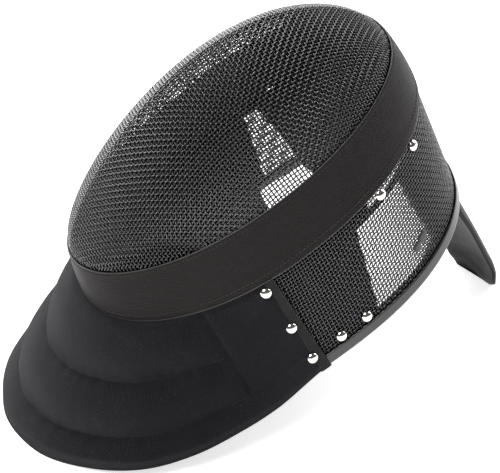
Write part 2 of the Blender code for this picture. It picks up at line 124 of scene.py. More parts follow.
def dome(aside, v):
    """The face mesh's form: aside is 0 on the keel and 1 or -1 at its edge."""
    height = np.minimum(np.abs(v) / MESH_HALF_HEIGHT, 1)
    power = np.where(v < 0, CHIN_POWER, CROWN_POWER)
    reach = MESH_HALF_WIDTH * (1 - height**power) ** (1 / power)
    keel = np.sqrt(np.maximum(1 - np.abs(aside) ** KEEL_POWER, 0))
    rise, fall = RIDGE_POWERS
    ridge = RIDGE_HEIGHT * (1 - height**rise) ** fall * (1 + RIDGE_LEAN * v / MESH_HALF_HEIGHT)
    return np.stack((aside * reach, v + 0 * aside, FACE_BOW * height**2 + ridge * keel), -1)


def dome_outward(aside, v):
    """The direction out of the face mesh, from the points close by on each side."""
    low, high = np.clip(aside - 0.02, -0.999, 0.999), np.clip(aside + 0.02, -0.999, 0.999)
    sideways = dome(high, v) - dome(low, v)
    upward = dome(aside, np.minimum(v + 0.6, LAST_ROW)) - dome(aside, np.maximum(v - 0.6, -LAST_ROW))
    return unit(np.cross(sideways, upward))


def crimped(crossings, away, above):
    """A wire's line: over the wires that it crosses where above is 1, under them where it is -1."""
    gaps = np.diff(crossings, axis=0)
    still = gaps[:1] * 0
    lift = away * np.asarray(above, float)[:, None] * WIRE_THICKNESS / 2
    before = crossings - CRIMP_REACH * np.vstack((still, gaps)) + lift
    after = crossings + CRIMP_REACH * np.vstack((gaps, still)) + lift
    return np.stack((before, after), 1).reshape(-1, 3), np.repeat(away, 2, axis=0)


def wires(name, lines, thickness, sides=WIRE_SIDES):
    """One mesh of round wires with closed ends, each a line of points with its outward directions."""
    points, faces, first = [], [], 0
    turns = np.linspace(0, 2 * math.pi, sides, endpoint=False)
    for line, away in lines:
        ahead = unit(np.gradient(line, axis=0))
        aside = unit(np.cross(ahead, away))
        up = np.cross(aside, ahead)
        ring = aside[:, None] * np.cos(turns)[:, None] + up[:, None] * np.sin(turns)[:, None]
        points.append((line[:, None] + ring * thickness / 2).reshape(-1, 3))
        count = len(line)
        a = first + (np.arange(count - 1)[:, None] * sides + np.arange(sides)).ravel()
        b = first + (np.arange(count - 1)[:, None] * sides + np.roll(np.arange(sides), -1)).ravel()
        faces.append(np.stack((a, a + sides, b + sides, b), 1))
        last = first + (count - 1) * sides
        for k in range(1, sides - 1, 2):
            faces.append(np.array(((first, first + k, first + k + 1, first + k + 2),)))
            faces.append(np.array(((last + k + 2, last + k + 1, last + k, last),)))
        first += count * sides
    points, faces = stand(np.vstack(points)), np.vstack(faces).astype(np.int32)
    mesh = bpy.data.meshes.new(name)
    mesh.vertices.add(len(points))
    mesh.vertices.foreach_set("co", points.astype(np.float32).ravel())
    mesh.loops.add(faces.size)
    mesh.loops.foreach_set("vertex_index", faces.ravel())
    mesh.polygons.add(len(faces))
    mesh.polygons.foreach_set("loop_start", np.arange(0, faces.size, 4, dtype=np.int32))
    mesh.update(calc_edges=True)
    mesh.shade_smooth()
    made = bpy.data.objects.new(name, mesh)
    bpy.context.scene.collection.objects.link(made)
    return made


class Signal:
    """A number that varies over a surface. Python's operators on it add Math nodes."""

    def __init__(self, finish, socket):
        self.finish = finish
        self.socket = socket

    def maths(self, operation, first, second=0.0):
        return self.finish.node("ShaderNodeMath", {"operation": operation}, {0: first, 1: second})

    def __add__(self, other):
        return self.maths("ADD", self, other)

    def __radd__(self, other):
        return self.maths("ADD", other, self)

    def __sub__(self, other):
        return self.maths("SUBTRACT", self, other)

    def __rsub__(self, other):
        return self.maths("SUBTRACT", other, self)

    def __mul__(self, other):
        return self.maths("MULTIPLY", self, other)

    def __rmul__(self, other):
        return self.maths("MULTIPLY", other, self)

    def waves(self, pitch):
        """Between -1 and 1, with one wave to each pitch."""
        return self.maths("SINE", self * (2 * math.pi / pitch))

    def ramp(self, low, high):
        """0 at low and 1 at high, with a soft step between."""
        settings = {"interpolation_type": "SMOOTHSTEP"}
        return self.finish.node("ShaderNodeMapRange", settings, {0: self, 1: low, 2: high})


class Finish:
    """A material, built up round its Principled shader."""

    def __init__(self, name, colour, roughness, metallic=0.0, **uniform):
        self.material = bpy.data.materials.new(name)
        self.material.use_nodes = True
        self.tree = self.material.node_tree
        self.shader = self.tree.nodes["Principled BSDF"]
        self.feed("Base Color", (*colour, 1))
        self.feed("Roughness", roughness)
        self.feed("Metallic", metallic)
        for socket, value in uniform.items():
            self.feed(socket.replace("_", " "), value)

    def connect(self, socket, value):
        value = value.socket if isinstance(value, Signal) else value
        if isinstance(value, bpy.types.NodeSocket):
            self.tree.links.new(value, socket)
        else:
            socket.default_value = value

    def feed(self, socket, value):
        self.connect(self.shader.inputs[socket], value)

    def node(self, kind, settings, sockets, out=0):
        made = self.tree.nodes.new(kind)
        for name, value in settings.items():
            setattr(made, name, value)
        for name, value in sockets.items():
            self.connect(made.inputs[name], value)
        return Signal(self, made.outputs[out])

    def noise(self, scale, detail=3.0, stretch=(1, 1, 1), rough=0.5):
        """Noise on the piece itself, with so many lumps to the metre."""
        place = self.node("ShaderNodeTexCoord", {}, {}, "Object")
        place = self.node("ShaderNodeMapping", {}, {"Vector": place, "Scale": stretch})
        sockets = {"Vector": place, "Scale": scale, "Detail": detail, "Roughness": rough}
        return self.node("ShaderNodeTexNoise", {}, sockets)

    def along(self):
        """How far a point lies along and across its cloth, in millimetres, from the UV map."""
        place = self.node("ShaderNodeUVMap", {"uv_map": "cloth"}, {})
        parts = self.node("ShaderNodeSeparateXYZ", {}, {0: place}, "X")
        return parts, Signal(self, parts.socket.node.outputs["Y"])

    def mixed(self, mask, first, second):
        """One colour where the mask is 0 and another where it is 1."""
        colours = {0: mask, 6: (*first, 1) if isinstance(first, tuple) else first}
        colours[7] = (*second, 1) if isinstance(second, tuple) else second
        return self.node("ShaderNodeMix", {"data_type": "RGBA"}, colours, 2)

    def relief(self, height, depth):
        """Bumps as deep as a length in metres where the height runs from 0 to 1."""
        self.feed("Normal", self.node("ShaderNodeBump", {}, {"Height": height, "Distance": depth}))


def settle(piece, finish, slot, *nodes):
    """A finished piece gets its material, rides on the mask and stands for its CAD nodes."""
    piece.data.materials.append(finish.material)
    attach(piece, "root")
    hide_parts(*nodes)


def run_along(line):
    """How far along its line each point is."""
    return np.append(0, np.cumsum(np.linalg.norm(np.diff(line, axis=0), axis=1)))


enamel = Finish("wire_enamel", (0.006, 0.006, 0.0065), 0.25, 0.0, Specular_IOR_Level=0.9)
worn = enamel.noise(420, 4.0).ramp(0.42, 0.7)
enamel.feed("Base Color", enamel.mixed(worn, (0.004, 0.004, 0.0045), (0.009, 0.009, 0.0095)))
enamel.feed("Roughness", 0.2 + enamel.noise(900) * 0.1)
enamel.relief(enamel.noise(2600, 2.0), 0.00004)

# Rows up the keel, a pitch apart, and on each row the places of the wires that cross it.
keel_v = MESH_HALF_HEIGHT * np.sin(np.radians(np.linspace(-89.8, 89.8, 900)))
keel_run = run_along(dome(keel_v * 0, keel_v))
row_v = np.interp(np.arange(WIRE_PITCH / 2, keel_run[-1], WIRE_PITCH), keel_run, keel_v)
fine_aside = np.sin(np.radians(np.linspace(0, 90, 181)))
rows = []
for v in row_v:
    run = run_along(dome(fine_aside, v))
    half = np.interp(np.arange(0, run[-1] - 0.4, WIRE_PITCH), run, fine_aside)
    rows.append((v, np.concatenate((-half[:0:-1], half)), len(half) - 1, run[-1]))


def tucked(v, aside_sign):
    """Where a wire of the face mesh goes under the trim band: two points and the directions out."""
    power = CHIN_POWER if v < 0 else CROWN_POWER
    along = math.copysign((abs(v) / MESH_HALF_HEIGHT) ** (power / 2), v)
    turn = math.degrees(math.acos(max(-1, min(1, along)))) * aside_sign
    return over(band, turn, TUCK, MESH_MIDDLE), outward(band, turn, TUCK)


across_lines, along_lines = [[], []], [[], []]
for number, (v, asides, reach, _) in enumerate(rows):
    points = dome(asides, v)
    away = dome_outward(asides, v)
    points = points - away * WIRE_THICKNESS
    above = np.where((np.arange(-reach, reach + 1) + number) % 2, 1, -1)
    (left, left_away), (right, right_away) = tucked(v, -1), tucked(v, 1)
    points = np.vstack((left[::-1], points, right))
    away = np.vstack((left_away[::-1], away, right_away))
    line = crimped(points, away, np.concatenate(([0, 0], above, [0, 0])))
    across_lines[int(v > 0)].append(line)
widest = max(reach for _, _, reach, _ in rows)
for k in range(-widest, widest + 1):
    crossed = [
        (number, v, asides[k + reach])
        for number, (v, asides, reach, _) in enumerate(rows)
        if abs(k) <= reach
    ]
    numbers, v, asides = (np.array(values) for values in zip(*crossed))
    away = dome_outward(asides, v)
    points = dome(asides, v) - away * WIRE_THICKNESS
    ends = []
    for number, step in ((numbers[0], -1), (numbers[-1], 1)):
        inner_v, _, _, inner_run = rows[number]
        outer_v, outer_run = LAST_ROW * step, 0.0
        if 0 <= number + step < len(rows):
            outer_v, _, _, outer_run = rows[number + step]
        share = (inner_run - abs(k) * WIRE_PITCH) / max(inner_run - outer_run, 0.1)
        edge_v = inner_v + (outer_v - inner_v) * min(max(share, 0), 1)
        ends.append(tucked(edge_v, -1 if k < 0 else 1))
    above = np.where((k + numbers) % 2, -1, 1)
    points = np.vstack((ends[0][0][::-1], points, ends[1][0]))
    away = np.vstack((ends[0][1][::-1], away, ends[1][1]))
    along_lines[int(k > 0)].append(crimped(points, away, np.concatenate(([0, 0], above, [0, 0]))))
for name, lines in (
    ("face_wires_across_lower", across_lines[0]),
    ("face_wires_across_upper", across_lines[1]),
    ("face_wires_along_right", along_lines[0]),
    ("face_wires_along_left", along_lines[1]),
):
    woven = wires(name, lines, WIRE_THICKNESS)
    settle(woven, enamel, "black_steel_wire", "front_mesh")

# ---------------- side mesh
# The second piece of woven wire, bent over the crown and down both sides. Its front edge is under the trim
# band and its rear edge in the rim. The same wire and the same enamel as the face.

REAR_HALF_WIDTH = 116.4
REAR_HALF_HEIGHT = 147.0
REAR_DROP = 17.1
REAR_PLANE = -130.7
SIDE_DEPTH = 93.6
SIDE_WIRE_END = 108.0
FIRST_WIRE_BACK = 0.012
LAST_WIRE_BACK = 0.968
WIRES_UNDER_BAND = 3


def side(turn, back):
    """The side mesh's form, from the band's rear edge at 0 to the rear rim at 1."""
    turn, back = np.broadcast_arrays(np.asarray(turn, float), np.asarray(back, float))
    u, v = oval(turn, REAR_HALF_WIDTH, REAR_HALF_HEIGHT, CROWN_POWER)
    rear = np.stack((u, v - REAR_DROP, u * 0 + REAR_PLANE), -1)
    return band_edge(turn, 1) * (1 - back[..., None]) + rear * back[..., None]


fine_turn = np.linspace(-SIDE_WIRE_END, SIDE_WIRE_END, 1500)
run = run_along(side(fine_turn, 0.5))
wire_turns = np.interp(np.arange(WIRE_PITCH / 2, run[-1], WIRE_PITCH), run, fine_turn)
wire_rows = np.arange(-WIRES_UNDER_BAND, int(LAST_WIRE_BACK * SIDE_DEPTH / WIRE_PITCH) + 1)
wire_backs = wire_rows * WIRE_PITCH / SIDE_DEPTH + FIRST_WIRE_BACK
turn_grid, back_grid = np.meshgrid(wire_turns, wire_backs, indexing="ij")
away = outward(side, turn_grid, back_grid)
crossings = side(turn_grid, back_grid) + away * MESH_MIDDLE
for column in np.flatnonzero(wire_backs < 0):
    across = 1 + wire_backs[column] * SIDE_DEPTH / BAND_WIDTH
    away[:, column] = outward(band, wire_turns, across)
    crossings[:, column] = band(wire_turns, across) + away[:, column] * MESH_MIDDLE
checks = np.where(np.add.outer(np.arange(len(wire_turns)), np.arange(len(wire_backs))) % 2, 1, -1)
half = len(wire_turns) // 2
round_lines = [crimped(crossings[:, j], away[:, j], checks[:, j]) for j in range(len(wire_backs))]
rearward = [crimped(crossings[i], away[i], -checks[i]) for i in range(len(wire_turns))]
for name, lines in (
    ("side_wires_round", round_lines),
    ("side_wires_rearward_right", rearward[:half]),
    ("side_wires_rearward_left", rearward[half:]),
):
    woven = wires(name, lines, WIRE_THICKNESS)
    settle(woven, enamel, "black_steel_wire", "side_mesh")

# ---------------- trim band
# A band of dark coated tape, ribbed along its length, that covers the joint between the two meshes. A thin
# piping runs along both its edges, coloured a lighter grey than the band as a painted highlight along each
# edge, and a row of stitches near each edge holds it down.

BAND_TOP = 0.5
BAND_THICKNESS = 1.2


def panel(name, grid, thickness, cut=None, thick=None):
    """A sheet laid on a form: a grid primitive, moved point by point to a grid of places whose rows follow
    each other round the mask. Cut gives the cells to leave open, and thick the share of its thickness that
    each point has. Its own UV map, cloth, is in millimetres along and across it."""
    row_count, column_count = grid.shape[:2]
    bpy.ops.object.select_all(action="DESELECT")
    bpy.ops.mesh.primitive_grid_add(x_subdivisions=row_count - 1, y_subdivisions=column_count - 1, size=1)
    made = bpy.context.object
    made.name = name
    mesh = made.data
    mesh.name = name
    flat = np.empty(len(mesh.vertices) * 3)
    mesh.vertices.foreach_get("co", flat)
    flat = flat.reshape(-1, 3)
    i = np.rint((flat[:, 0] + 0.5) * (row_count - 1)).astype(int)
    j = np.rint((flat[:, 1] + 0.5) * (column_count - 1)).astype(int)
    points = stand(grid)
    mesh.vertices.foreach_set("co", points[i, j].ravel())
    along = np.zeros((row_count, column_count))
    along[1:] = np.cumsum(np.linalg.norm(np.diff(grid, axis=0), axis=2), axis=0)
    along -= along[row_count // 2]
    across = np.zeros((row_count, column_count))
    across[:, 1:] = np.cumsum(np.linalg.norm(np.diff(grid, axis=1), axis=2), axis=1)
    corners = np.empty(len(mesh.loops), np.int32)
    mesh.loops.foreach_get("vertex_index", corners)
    laid = mesh.uv_layers.active or mesh.uv_layers.new()
    laid.name = "cloth"
    laid.data.foreach_set("uv", np.stack((along[i, j], across[i, j]), 1)[corners].ravel())
    if cut is not None:
        centres = np.array([face.vertices[:] for face in mesh.polygons])
        low_i, low_j = i[centres].min(1), j[centres].min(1)
        bpy.ops.object.mode_set(mode="EDIT")
        bpy.ops.mesh.select_all(action="DESELECT")
        bpy.ops.mesh.select_mode(type="FACE")
        bpy.ops.object.mode_set(mode="OBJECT")
        mesh.polygons.foreach_set("select", cut[low_i, low_j])
        bpy.ops.object.mode_set(mode="EDIT")
        bpy.ops.mesh.delete(type="FACE")
        bpy.ops.mesh.select_mode(type="VERT")
        bpy.ops.object.mode_set(mode="OBJECT")
    mesh.shade_smooth()
    if not thickness:
        return made
    if thick is not None:
        group = made.vertex_groups.new(name="thick")
        for index, share in enumerate(thick[i, j]):
            group.add([index], float(share), "REPLACE")
    solid = made.modifiers.new("thickness", "SOLIDIFY")
    solid.thickness = thickness / 1000
    solid.offset = -1
    solid.vertex_group = "thick" if thick is not None else ""
    bpy.ops.object.modifier_apply(modifier="thickness")
    return made


def joined(piece):
    """Merges the points of a piece that meet, such as a panel's two ends."""
    bpy.ops.object.select_all(action="DESELECT")
    piece.select_set(True)
    bpy.context.view_layer.objects.active = piece
    bpy.ops.object.mode_set(mode="EDIT")
    bpy.ops.mesh.select_all(action="SELECT")
    bpy.ops.mesh.delete_loose()
    bpy.ops.mesh.select_all(action="SELECT")
    bpy.ops.mesh.remove_doubles(threshold=0.00001)
    bpy.ops.object.mode_set(mode="OBJECT")
    return piece


ribbed = Finish("ribbed_band", (0.009, 0.0066, 0.0066), 0.55, Specular_IOR_Level=0.2)
length, width = ribbed.along()
ribs = width.waves(1.5)
threads = length.waves(0.7)
streaks = ribbed.noise(160, 5.0, (1, 1, 1), 0.65)
light = streaks.ramp(0.3, 0.75)
ribbed.feed("Base Color", ribbed.mixed(light, (0.0082, 0.006, 0.006), (0.0118, 0.0087, 0.0087)))
ribbed.feed("Roughness", 0.46 + streaks * 0.16)
ribbed.relief(ribs * 0.6 + threads * 0.2 + ribbed.noise(900) * 0.5, 0.0002)

band_turns = np.linspace(0, 360, 241)
band_across = np.sin(np.radians(np.linspace(-90, 90, 25))) * 0.5 + 0.5
turn_grid, across_grid = np.meshgrid(band_turns, band_across, indexing="ij")
# The tape is rounded off at both edges and stands a little off its form in soft waves.
rounding = 0.45 * np.clip(1 - np.minimum(across_grid, 1 - across_grid) / 0.03, 0, 1) ** 2
slack = 0.18 * np.sin(np.radians(turn_grid) * 7 + 1.3) * np.sin(math.pi * across_grid)
slack += 0.1 * np.sin(np.radians(turn_grid) * 19 + 6 * across_grid) * np.sin(math.pi * across_grid)
tape_grid = over(band, turn_grid, across_grid, BAND_TOP - rounding + slack)
trim = joined(panel("trim_tape", tape_grid, BAND_THICKNESS))
settle(trim, ribbed, "black_band", "trim_band")


def line_on(form, turn, across, height):
    """A line along or across a form, with its outward directions."""
    return over(form, turn, across, height), outward(form, turn, across)


# The piping itself is real. Its grey, lighter than the band, is painted highlight: the bright line along
# each edge.
painted_highlight_piping = Finish("piping_painted_highlight", (0.035, 0.034, 0.032), 0.42)
painted_highlight_piping.relief(painted_highlight_piping.noise(2500, 2.0), 0.0001)
edge_turns = np.linspace(0, 360, 361)
for name, across, height, thickness in (
    ("front_piping", -0.008, 0.0, 1.0),
    ("rear_piping", 1.008, 0.0, 0.9),
):
    piping = wires(name, [line_on(band, edge_turns, across, height)], thickness, 8)
    settle(piping, painted_highlight_piping, "black_band", "trim_band")


def stitches(name, rows, finish, slot, node, pitch=3.4, length=2.3, thickness=0.5):
    """Rows of thread stitches, each sunk into its cloth at both ends."""
    sewn = []
    for line, away in rows:
        run = run_along(line)
        for start in np.arange(pitch / 2, run[-1] - length, pitch):
            at = start + np.array((0, 0.2, 0.8, 1.0)) * length
            point = np.stack([np.interp(at, run, line[:, k]) for k in range(3)], 1)
            normal = unit(np.stack([np.interp(at, run, away[:, k]) for k in range(3)], 1))
            lift = np.array((-0.45, 0.3, 0.3, -0.45)) * thickness
            sewn.append((point + normal * lift[:, None], normal))
    thread = wires(name, sewn, thickness, 4)
    settle(thread, finish, slot, node)


band_thread = Finish("band_thread", (0.03, 0.026, 0.025), 0.6)
band_thread.relief(band_thread.noise(3000, 2.0), 0.0001)
rear_row = line_on(band, edge_turns, 0.885, BAND_TOP)
front_row = line_on(band, edge_turns, 0.055, BAND_TOP - 0.05)
stitches("band_stitches", [rear_row, front_row], band_thread, "black_band", "trim_band")

# ---------------- rear rim
# A satin steel strip, folded over the side mesh's rear edge from ear to ear over the crown, and its ends
# tucked under the bib's binding.

RIM_END = 99.0
RIM_WIDTH = 9.4
RIM_THICKNESS = 0.9
RIM_FOLD = 0.022
RIM_TOP = 0.5
RIM_BOTTOM = -4.3

satin = Finish("satin_steel", (0.06, 0.059, 0.058), 0.32, 0.6)
drawn = satin.noise(2200, 2.0)
satin.feed("Base Color", satin.mixed(drawn, (0.055, 0.054, 0.053), (0.075, 0.074, 0.073)))
satin.feed("Roughness", 0.3 + drawn * 0.08)

rim_turns = np.linspace(-RIM_END, RIM_END, 141)
flange = RIM_WIDTH / 92.8  # as a share of the side mesh's depth
bend = np.radians(np.linspace(90, -90, 9))
outer_half = 1 - flange + np.linspace(0, 0.78, 6) * flange
backs = np.concatenate((outer_half, 1 - RIM_FOLD + RIM_FOLD * np.cos(bend)[1:-1], outer_half[::-1]))
middle, opening = (RIM_TOP + RIM_BOTTOM) / 2, (RIM_TOP - RIM_BOTTOM) / 2
fold_heights = middle + opening * np.sin(bend)[1:-1]
heights = np.concatenate((np.full(6, RIM_TOP), fold_heights, np.full(6, RIM_BOTTOM)))
turn_grid, back_grid = np.meshgrid(rim_turns, backs, indexing="ij")
rim = panel("rim_strip", over(side, turn_grid, back_grid, heights), RIM_THICKNESS)
settle(rim, satin, "satin_black_steel", "rear_rim")

# ---------------- bib
# The throat bib: black twill over padding, quilted in front into three rolls round the throat and flat at
# the sides, sewn in under the trim band. Its hem lies on the floor in front.

CLOTH_TOP = 2.3
CLOTH_BOTTOM = -0.7
SEAM_SINK = 0.9
PADDING = 3.6
TUCKED_IN = -1.1
BIB_START = 102.7
HEM_TOP = -46
HEM_FALL = 221
HEM_REAR = -129.6
HEM_FORWARD = 52.6
HEM_DIP = 8.4
# The hem: a turn, and its place u and v there. Its w follows from how far it has come down.
HEM = np.array((
    (96.5, 115.3, -26.8), (99.6, 115.9, -36.4), (102.7, 116.5, -46.0), (110.0, 119.5, -60.0),
    (120.0, 125.7, -87.0), (130.0, 128.0, -117.0), (140.0, 127.0, -156.0), (150.0, 116.5, -193.0),
    (160.0, 91.0, -227.0), (170.0, 53.0, -255.0), (180.0, 0.0, -267.0), (190.0, -53.0, -255.0),
))
SEAMS = (0.42, 0.78)
CROSS_SEAM_TURN = 122.6
CROSS_SEAM_SINK = 2.0
# Each roll: where it starts and ends down the bib, how high it stands, and the turns between which it
# swells.
ROLLS = ((0.0, 0.42, 6.5, 123, 132), (0.42, 0.78, 5.6, 123, 132), (0.78, 1.06, 3.6, 106, 142))


def ease(value, start, end):
    """0 before the start and 1 past the end, with a smooth rise between."""
    share = np.clip((value - start) / (end - start), 0, 1)
    return share * share * (3 - 2 * share)


def through(knots, values, at):
    """A smooth curve through values at knots."""
    slopes = np.gradient(values, knots)
    slopes[1:-1] = (values[2:] - values[:-2]) / (knots[2:] - knots[:-2])
    index = np.clip(np.searchsorted(knots, at, side="right") - 1, 0, len(knots) - 2)
    step = knots[index + 1] - knots[index]
    t = (at - knots[index]) / step
    return (
        values[index] * (2 * t**3 - 3 * t**2 + 1)
        + slopes[index] * step * (t**3 - 2 * t**2 + t)
        + values[index + 1] * (3 * t**2 - 2 * t**3)
        + slopes[index + 1] * step * (t**3 - t**2)
    )


def hem(turn):
    """The bib's lower edge, from one binding round the front to the other."""
    at = np.minimum(turn, 360 - turn)
    u, v = through(HEM[:, 0], HEM[:, 1], at), through(HEM[:, 0], HEM[:, 2], at)
    ahead = (HEM_TOP - v) / HEM_FALL
    w = HEM_REAR + HEM_FORWARD * ahead - HEM_DIP * 4 * ahead * (1 - ahead)
    return np.stack((np.where(turn > 180, -u, u), v, w), -1)


def bib(turn, down):
    """The bib's form without padding, from the band's rear edge at 0 to its hem at 1."""
    turn, down = np.broadcast_arrays(np.asarray(turn, float), np.asarray(down, float))
    return band_edge(turn, 1) * (1 - down[..., None]) + hem(turn) * down[..., None]


def cloth_height(turn, down):
    """How high the bib's cloth stands over its form, with rolls, puckers at the seams and soft waves."""
    at = np.minimum(turn, 360 - turn)
    swell = np.zeros(np.broadcast(turn, down).shape)
    for start, end, height, flat_turn, full_turn in ROLLS:
        inside = (down >= start) & (down < end)
        share = np.clip((down - start) / (end - start), 0, 1)
        roll = (height + SEAM_SINK) * np.sin(math.pi * share) ** 0.75 * ease(at, flat_turn, full_turn)
        swell = np.where(inside, roll, swell)
    from_cross_seam = at - CROSS_SEAM_TURN - 1.2 * down
    swell -= CROSS_SEAM_SINK * np.exp(-((from_cross_seam / 1.1) ** 2)) * (1 - ease(down, 0.74, 0.8))
    padded = ease(at, 121, 132)
    waves = 0.22 * np.sin(np.radians(turn) * 13 + 7 * down) * np.sin(9 * down + np.radians(turn) * 5)
    for seam in (0.0, *SEAMS):
        near = np.exp(-(((down - seam) / 0.05) ** 2))
        puckers = np.sin(np.radians(turn) * 71 + 3 * np.sin(np.radians(turn) * 13) + seam * 40)
        waves += 0.28 * near * puckers
    flat = CLOTH_TOP - SEAM_SINK * ease(at, 118, 126)
    top = flat + swell + waves * (0.35 + 0.65 * padded) * ease(down, 0.02, 0.1)
    rise = ease(down, -0.01, 0.05)
    edge = 1 - 0.75 * ease(down, 0.93, 1.0)
    return TUCKED_IN * (1 - rise) + top * rise * edge


def cloth_depth(turn, down):
    """Where the bib's inner face lies under its form, with the padding of the rolls."""
    at = np.minimum(turn, 360 - turn)
    padded = ease(at, 118, 140) * ease(down, 0.02, 0.12) * (1 - ease(down, 0.9, 1.0))
    tucked_in = ease(at, 109, 112) * (1 - ease(down, 0.0, 0.03))
    return CLOTH_BOTTOM - 1.8 * tucked_in - PADDING * padded


twill = Finish("navy_black_twill", (0.008, 0.008, 0.0105), 0.85, Sheen_Weight=0.07, Sheen_Roughness=0.4)
twill.feed("Specular IOR Level", 0.12)
length, width = twill.along()
ribs = (length + width).waves(1.1)
yarn = (length - width).waves(0.8)
cloudy = twill.noise(30, 4.0)
lint = twill.noise(800, 1.0, (1, 1, 1), 0.4).ramp(0.67, 0.75)
grain = twill.noise(900, 3.0).ramp(0.35, 0.7)
dark = twill.mixed(cloudy.ramp(0.3, 0.7), (0.0058, 0.0058, 0.0078), (0.0085, 0.0085, 0.0112))
dark = twill.mixed(grain * 0.6, dark, (0.018, 0.018, 0.0225))
twill.feed("Base Color", twill.mixed(lint, dark, (0.034, 0.034, 0.038)))
twill.feed("Roughness", 0.78 + grain * 0.15)
twill.relief(ribs * 0.3 + yarn * 0.12 + twill.noise(800, 4.0) * 0.9, 0.0005)

bib_turns = np.linspace(BIB_START - 0.4, 360.4 - BIB_START, 241)
bib_downs = np.linspace(-0.03, 1.0, 104)
turn_grid, down_grid = np.meshgrid(bib_turns, bib_downs, indexing="ij")
height = cloth_height(turn_grid, down_grid)
depth = height - cloth_depth(turn_grid, down_grid)
cloth_grid = over(bib, turn_grid, down_grid, height)
bib_cloth = panel("bib_cloth", cloth_grid, depth.max(), thick=depth / depth.max())


def on_floor(piece):
    """Cloth and leather lie flat where they meet the floor."""
    count = len(piece.data.vertices)
    places = np.empty(count * 3, np.float32)
    piece.data.vertices.foreach_get("co", places)
    places[2::3] = np.maximum(places[2::3], 0)
    piece.data.vertices.foreach_set("co", places)
    piece.data.update()


on_floor(bib_cloth)
settle(bib_cloth, twill, "navy_black_cloth", "bib")

seam_thread = Finish("bib_thread", (0.02, 0.02, 0.026), 0.7)
seam_thread.relief(seam_thread.noise(3000, 2.0), 0.0001)
seam_turns = np.linspace(124, 236, 260)
seam_rows = [line_on(bib, seam_turns, seam, cloth_height(seam_turns, seam)) for seam in SEAMS]
stitches("bib_seam_stitches", seam_rows, seam_thread, "navy_black_cloth", "bib", 3.0, 2.0, 0.45)

# ---------------- binding
# Dark tape that binds the bib's rear edges over the side mesh, folded round the cloth and sewn down along
# both sides.

TAPE_START = 99.6
TAPE_END = 102.6
TAPE_TOP = CLOTH_TOP - 0.3
TAPE_STITCHES = (99.95, 102.15)

tape = Finish("binding_tape", (0.017, 0.017, 0.017), 0.75, Specular_IOR_Level=0.3)
length, width = tape.along()
weave = length.waves(0.9) * width.waves(0.9)
faded = tape.noise(300, 3.0).ramp(0.3, 0.7)
tape.feed("Base Color", tape.mixed(faded, (0.008, 0.008, 0.008), (0.013, 0.013, 0.013)))
tape.relief(weave * 0.5 + tape.noise(1200) * 0.6, 0.0002)
tape_downs = np.linspace(0.004, 1.0, 70)
for side_name, mirror in (("left", 1), ("right", -1)):
    node = "bib_binding_" + side_name
    turn_grid, down_grid = np.meshgrid(np.linspace(TAPE_START, TAPE_END, 9), tape_downs, indexing="ij")
    share = (turn_grid - TAPE_START) / (TAPE_END - TAPE_START)
    rounded = 0.5 * (1 - np.clip(np.minimum(share, 1 - share) / 0.15, 0, 1)) ** 2
    grid = over(bib, turn_grid, down_grid, TAPE_TOP - rounded)
    sewn = [line_on(bib, turn, tape_downs, TAPE_TOP) for turn in TAPE_STITCHES]
    if mirror < 0:
        grid = (grid * (-1, 1, 1))[::-1]
        sewn = [(line * (-1, 1, 1), away * (-1, 1, 1)) for line, away in sewn]
    bound = panel("binding_tape_" + side_name, grid, TAPE_TOP - CLOTH_BOTTOM)
    settle(bound, tape, "charcoal_tape", node)
    stitches("binding_stitches_" + side_name, sewn, band_thread, "charcoal_tape", node)

# ---------------- rivets
# Bright domed rivets of plated steel, seven a side. Three go through the bib's rear edge, two through the
# side mesh beside the rim and two beside the trim band. Each head is a squashed ball, cut flat underneath.

RIVET_RADIUS = 4.5
RIVET_HEIGHT = 2.7
BALL_CUT = 0.12
CUT_RADIUS = 0.9928

chrome = Finish("polished_chrome", (0.95, 0.93, 0.87), 0.09, 1.0)
chrome.feed("Roughness", 0.06 + chrome.noise(500, 4.0).ramp(0.45, 0.8) * 0.12)
chrome.relief(chrome.noise(1800, 2.0), 0.00001)

bpy.ops.object.select_all(action="DESELECT")
bpy.ops.mesh.primitive_uv_sphere_add(segments=32, ring_count=20, radius=1)
rivet_head = bpy.context.object
bpy.ops.object.mode_set(mode="EDIT")
bpy.ops.mesh.select_all(action="SELECT")
bpy.ops.mesh.bisect(plane_co=(0, 0, BALL_CUT), plane_no=(0, 0, 1), clear_inner=True, use_fill=True)
bpy.ops.mesh.select_all(action="SELECT")
bpy.ops.transform.translate(value=(0, 0, -BALL_CUT))
bpy.ops.object.mode_set(mode="OBJECT")
width = RIVET_RADIUS / CUT_RADIUS
rivet_head.data.transform(Matrix.Diagonal((width, width, RIVET_HEIGHT / (1 - BALL_CUT), 1)))
for side_name in ("left", "right"):
    for number in range(1, 8):
        node = f"rivet_{side_name}_{number}"
        corners = np.array([corner.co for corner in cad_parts[node].data.vertices])
        centre = corners.mean(0)
        axis = np.linalg.svd(corners - centre)[2][2]
        axis = axis * np.sign(axis[0] * centre[0])
        seat = centre + axis * ((corners - centre) @ axis).min()
        turned = Vector(axis).to_track_quat("Z", "Y").to_matrix().to_4x4()
        head = bpy.data.objects.new(f"rivet_head_{side_name}_{number}", rivet_head.data.copy())
        bpy.context.scene.collection.objects.link(head)
        head.data.transform(Matrix.Translation(Vector(seat)) @ turned @ Matrix.Scale(0.001, 4))
        head.data.shade_smooth()
        settle(head, chrome, "bright_chrome", node)
bpy.data.objects.remove(rivet_head)

# ---------------- lining
# Black padding sewn inside the side mesh round the crown, cheeks and chin, with a window left open over
# each ear and a slit in front of it. Its openings have thin bound edges.

LINING_OUTER = -3.9
LINING_THICKNESS = 4.4
LINING_DEPTH = 93
LINING_START = -0.03
SLIT_END = 0.105
WINDOW_START = 0.15
WINDOW_END = 0.872
LINING_END = 0.893
ROW_STEPS = 6
ROW_LENGTH = 9
WINDOW_ROWS = (3, 6)
RIGHT_WINDOW_LOW = 2.66
SLIT_ROWS = (4, 7)
